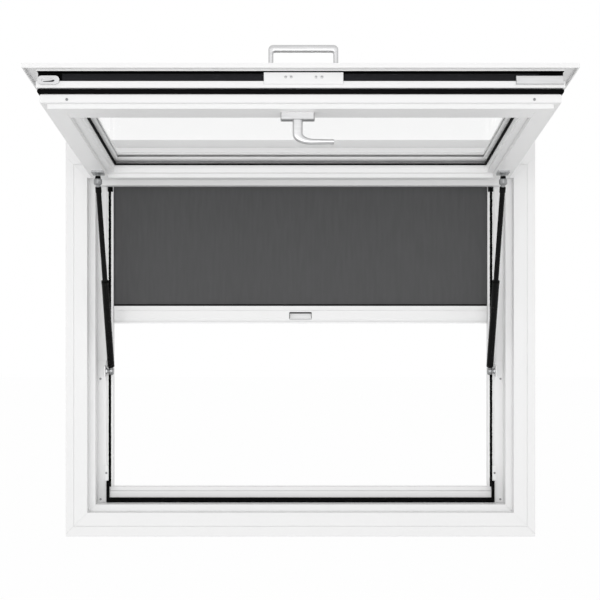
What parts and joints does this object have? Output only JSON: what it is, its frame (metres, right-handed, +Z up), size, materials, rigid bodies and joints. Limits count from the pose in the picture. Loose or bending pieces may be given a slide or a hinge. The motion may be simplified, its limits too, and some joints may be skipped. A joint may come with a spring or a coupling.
{
  "type": "top-hung serving window",
  "caption": "White aluminium serving window with a glazed top-hung sash raised on gas struts, a roller screen half down in side guides, a lever lock and a pull handle.",
  "frame": {"origin": "back face of the sill flange, at mid-width and mid-height of that face", "axes": "+X to the right seen from outside, +Y into the building, +Z up"},
  "size_m": [1, 0.8903, 0.9311],
  "materials": {
    "white_coat": "satin powder coat",
    "clear_glass": "clear",
    "seal_rubber": "matte",
    "white_tape": "matte white foam",
    "brush_pile": "woven pile",
    "screen_mesh": "coated weave",
    "strut_black": "satin black",
    "zinc_steel": "zinc plate",
    "lock_steel": "dark oxide",
    "groove_black": "matte black",
    "spacer_metal": "mill",
    "satin_metal": "satin"
  },
  "bodies": {
    "window": {"bottom_bead": "white_coat", "frame_head": "white_coat", "frame_left_jamb": "white_coat", "frame_right_jamb": "white_coat", "frame_sill": "white_coat", "glazing_gasket": "seal_rubber", "glazing_spacer": "spacer_metal", "glazing_tape": "white_tape", "guide_brushes": "brush_pile", "hinge_frame_leaf": "white_coat", "hinge_pin": "zinc_steel", "hinge_sash_leaf": "white_coat", "inner_pane": "clear_glass", "left_bead": "white_coat", "left_guide_rail": "white_coat", "left_lock_tongue": "satin_metal", "left_lower_bracket": "white_coat", "left_stop": "white_coat", "left_strut_ends": "zinc_steel", "left_strut_rod": "strut_black", "left_strut_tube": "strut_black", "left_upper_bracket": "zinc_steel", "lever_base": "satin_metal", "lock_bar": "lock_steel", "lock_channel": "groove_black", "lock_cover": "white_coat", "outer_pane": "clear_glass", "pull_handle": "satin_metal", "right_bead": "white_coat", "right_guide_rail": "white_coat", "right_lock_tongue": "satin_metal", "right_lower_bracket": "white_coat", "right_stop": "white_coat", "right_strut_ends": "zinc_steel", "right_strut_rod": "strut_black", "right_strut_tube": "strut_black", "right_upper_bracket": "zinc_steel", "roller_tube": "screen_mesh", "sash_bottom_rail": "white_coat", "sash_left_stile": "white_coat", "sash_right_stile": "white_coat", "sash_seal": "seal_rubber", "sash_top_rail": "white_coat", "screen_bar": "white_coat", "screen_cassette": "white_coat", "screen_catches": "white_coat", "screen_fabric": "screen_mesh", "sill_rail": "white_coat", "sill_seal": "seal_rubber", "sill_stop": "white_coat", "top_bead": "white_coat"},
    "lever": {"lever_handle": "satin_metal"}
  },
  "joints": [
    {"name": "lever_turn", "type": "hinge", "parent": "window", "child": "lever", "pos_m": [-0.005, -0.70728, 0.78502], "axis": [0, 0.1097, 0.994], "range_deg": [0, 90]}
  ]
}
